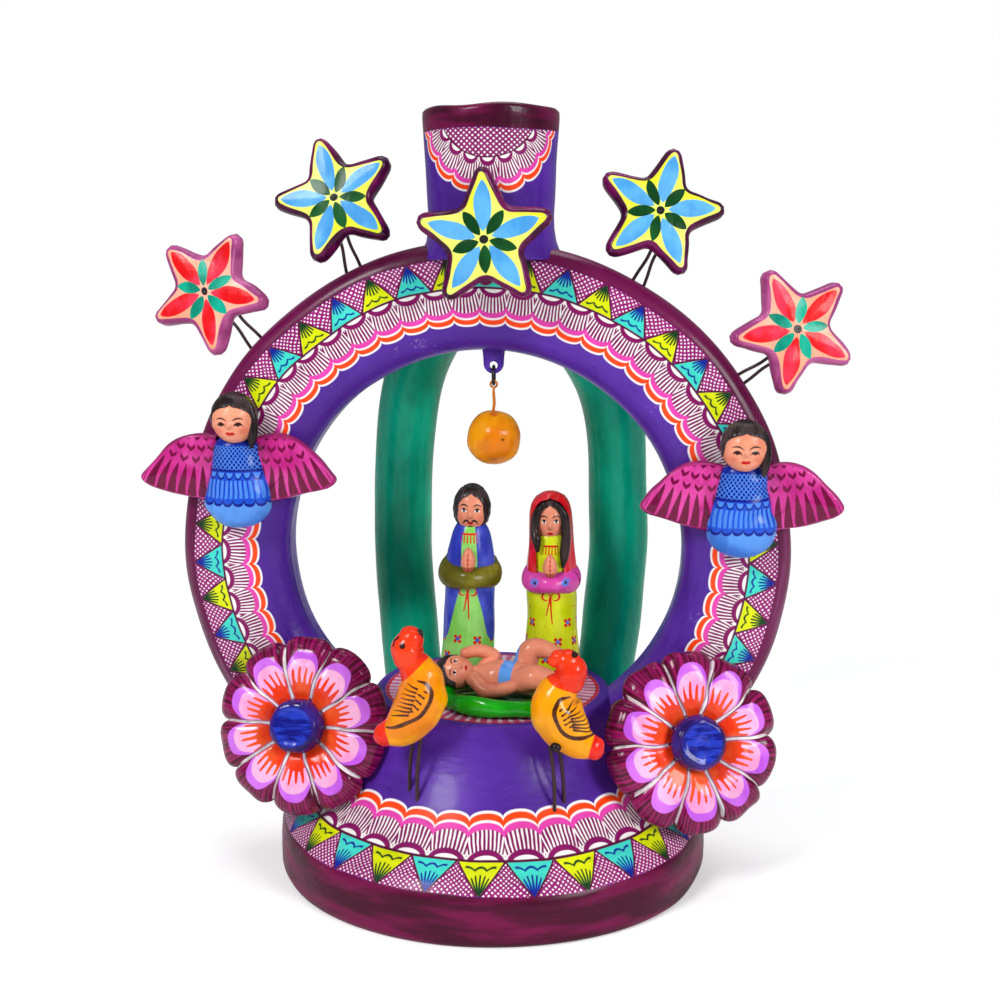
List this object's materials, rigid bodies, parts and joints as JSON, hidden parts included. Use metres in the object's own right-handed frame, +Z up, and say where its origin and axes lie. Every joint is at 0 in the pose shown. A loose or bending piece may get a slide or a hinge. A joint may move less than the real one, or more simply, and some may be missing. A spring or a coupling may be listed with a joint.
{
  "type": "nativity scene candle holder",
  "caption": "Painted clay nativity scene: trumpet base, upright ring with figures, birds, rosettes, angels and stars on wires, a hanging ball and a candle cup on top",
  "frame": {"origin": "middle of the foot, on the floor plane", "axes": "+Z up, the decorated front looks along -Y, +X to the right seen from the front"},
  "size_m": [0.2766, 0.176, 0.3014],
  "materials": {
    "purple_clay": "hand-painted and varnished, glossy",
    "green_clay": "hand-painted and varnished, glossy",
    "maroon_clay": "hand-painted and varnished, glossy",
    "wire": "dark painted iron wire",
    "orange_clay": "hand-painted and varnished, glossy",
    "red_clay": "hand-painted and varnished, glossy",
    "peach_clay": "hand-painted and varnished, glossy",
    "yellow_clay": "hand-painted and varnished, glossy",
    "blue_clay": "hand-painted and varnished, glossy",
    "pink_clay": "hand-painted and varnished, glossy",
    "skin_clay": "hand-painted and varnished, glossy",
    "leaf_green_clay": "hand-painted and varnished, glossy",
    "olive_clay": "hand-painted and varnished, glossy",
    "pad_green_clay": "hand-painted and varnished, glossy"
  },
  "bodies": {
    "holder": {"base_shell": "purple_clay", "front_ring": "purple_clay", "rear_arch_left": "green_clay", "rear_arch_right": "green_clay", "candle_cup": "maroon_clay", "hanging_lug": "purple_clay", "star_outer_left": "peach_clay", "star_outer_left_wire_1": "wire", "star_outer_left_wire_2": "wire", "star_inner_left": "yellow_clay", "star_inner_left_wire_1": "wire", "star_inner_left_wire_2": "wire", "star_inner_right": "yellow_clay", "star_inner_right_wire_1": "wire", "star_inner_right_wire_2": "wire", "star_outer_right": "peach_clay", "star_outer_right_wire_1": "wire", "star_outer_right_wire_2": "wire", "star_centre": "yellow_clay", "star_centre_peg": "maroon_clay", "angel_left_dress": "blue_clay", "angel_left_head": "skin_clay", "angel_left_wing_left": "pink_clay", "angel_left_wing_right": "pink_clay", "angel_right_dress": "blue_clay", "angel_right_head": "skin_clay", "angel_right_wing_left": "pink_clay", "angel_right_wing_right": "pink_clay", "flower_left_petals": "maroon_clay", "flower_left_button": "blue_clay", "flower_right_petals": "maroon_clay", "flower_right_button": "blue_clay", "father_figure_robe": "leaf_green_clay", "father_figure_head": "skin_clay", "father_figure_sleeves": "olive_clay", "father_figure_hands": "skin_clay", "mother_figure_robe": "yellow_clay", "mother_figure_head": "skin_clay", "mother_figure_sleeves": "pink_clay", "mother_figure_hands": "skin_clay", "mother_figure_veil": "red_clay", "sleeping_pad": "pad_green_clay", "infant_torso": "skin_clay", "infant_head": "skin_clay", "infant_arm_left": "skin_clay", "infant_arm_right": "skin_clay", "infant_leg_left": "skin_clay", "infant_leg_right": "skin_clay", "bird_left_body": "orange_clay", "bird_left_head": "red_clay", "bird_left_leg_1": "wire", "bird_left_leg_2": "wire", "bird_right_body": "orange_clay", "bird_right_head": "red_clay", "bird_right_leg_1": "wire", "bird_right_leg_2": "wire"},
    "wire_eye": {"pendant_loop": "wire"},
    "pendant": {"pendant_stem": "wire", "pendant_ball": "orange_clay"}
  },
  "joints": [
    {"name": "eye_side_swing", "type": "hinge", "parent": "holder", "child": "wire_eye", "pos_m": [0.0005, 0, 0.20275], "axis": [0, 1, 0], "range_deg": [-60, 60]},
    {"name": "pendant_swing", "type": "hinge", "parent": "wire_eye", "child": "pendant", "pos_m": [0.0005, 0, 0.19915], "axis": [1, 0, 0], "range_deg": [-70, 70]}
  ]
}
